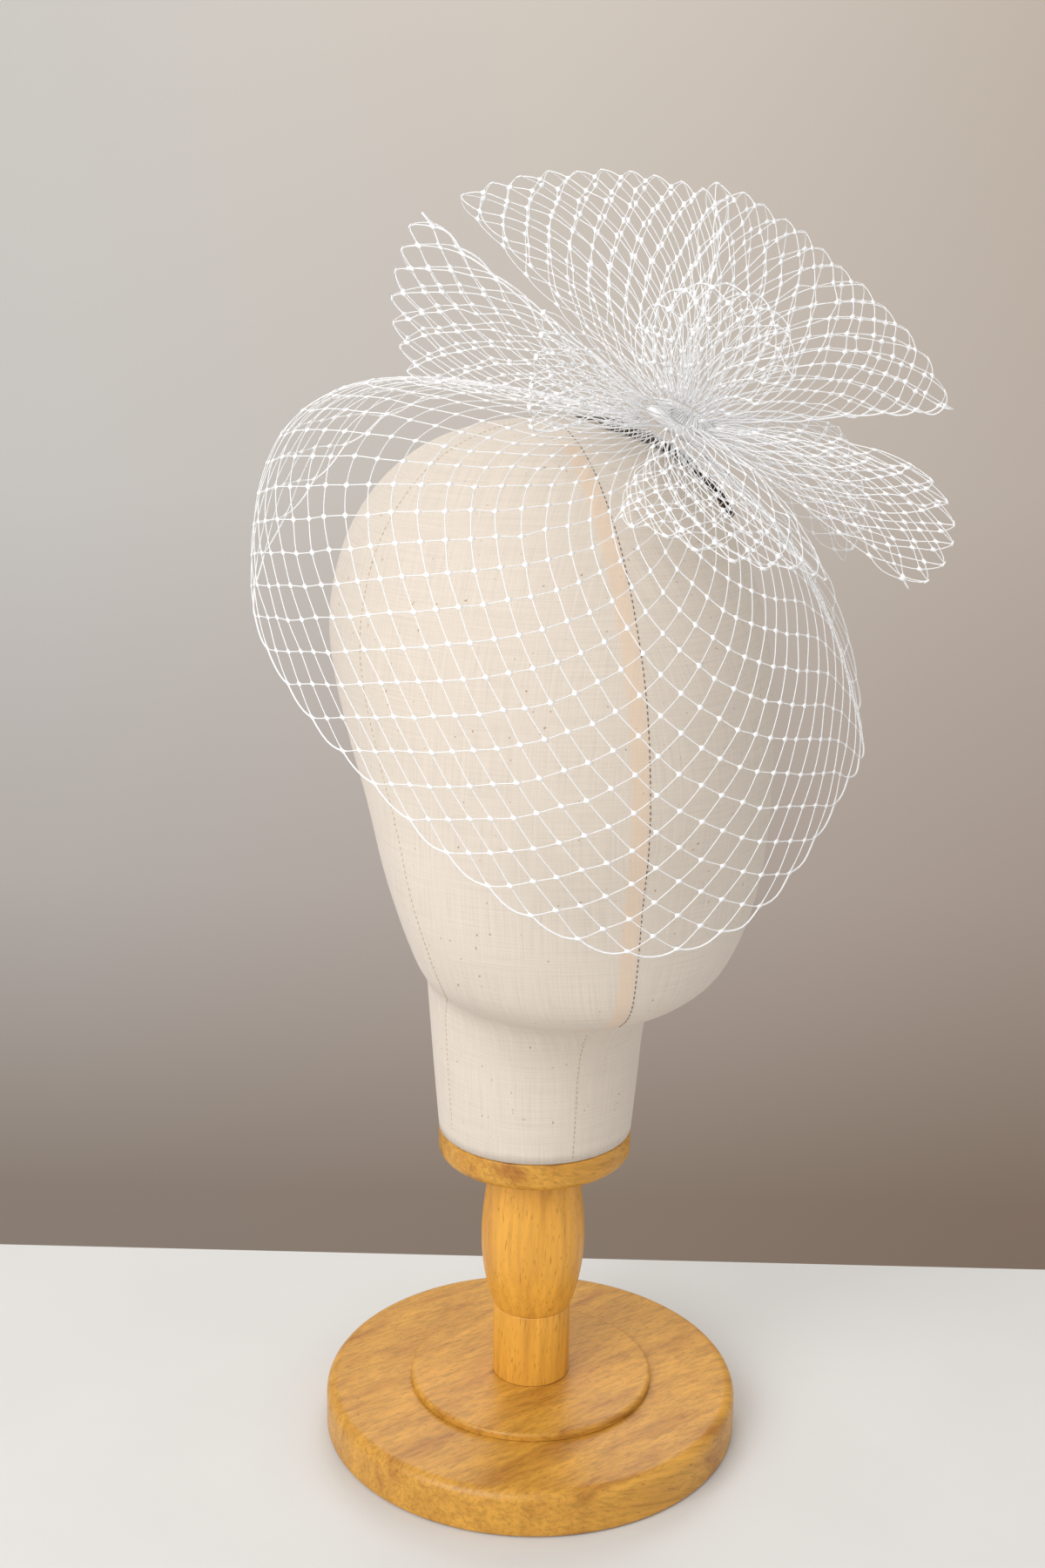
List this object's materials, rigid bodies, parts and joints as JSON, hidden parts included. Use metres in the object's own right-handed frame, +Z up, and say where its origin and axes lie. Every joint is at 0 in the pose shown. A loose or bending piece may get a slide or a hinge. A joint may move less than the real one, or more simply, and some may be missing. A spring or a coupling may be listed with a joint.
{
  "type": "birdcage veil with a net pouf on a canvas head form and turned stand",
  "caption": "Diamond-net birdcage veil gathered on a comb with a pouf of net loops, worn by a plain canvas head block on a turned wooden stand.",
  "frame": {"origin": "centre of the base disc's underside", "axes": "+Z up along the stand, -Y the way the head faces, +X the wearer's left"},
  "size_m": [0.2816, 0.2243, 0.532],
  "materials": {
    "wood": "satin varnish",
    "linen": "plain-weave linen canvas",
    "net": "stiffened diamond netting",
    "comb_metal": "black lacquer"
  },
  "bodies": {
    "root": {"base_disc": "wood", "base_step": "wood", "post_foot": "wood", "post_bulb": "wood", "collar": "wood", "head_form": "linen", "comb": "comb_metal", "gather": "net", "face_net": "net", "loop_left_top": "net", "loop_top": "net", "loop_right_top": "net", "loop_swirl": "net", "loop_right_low": "net", "loop_right_back": "net", "loop_front_low": "net", "loop_left_low": "net"}
  },
  "joints": []
}
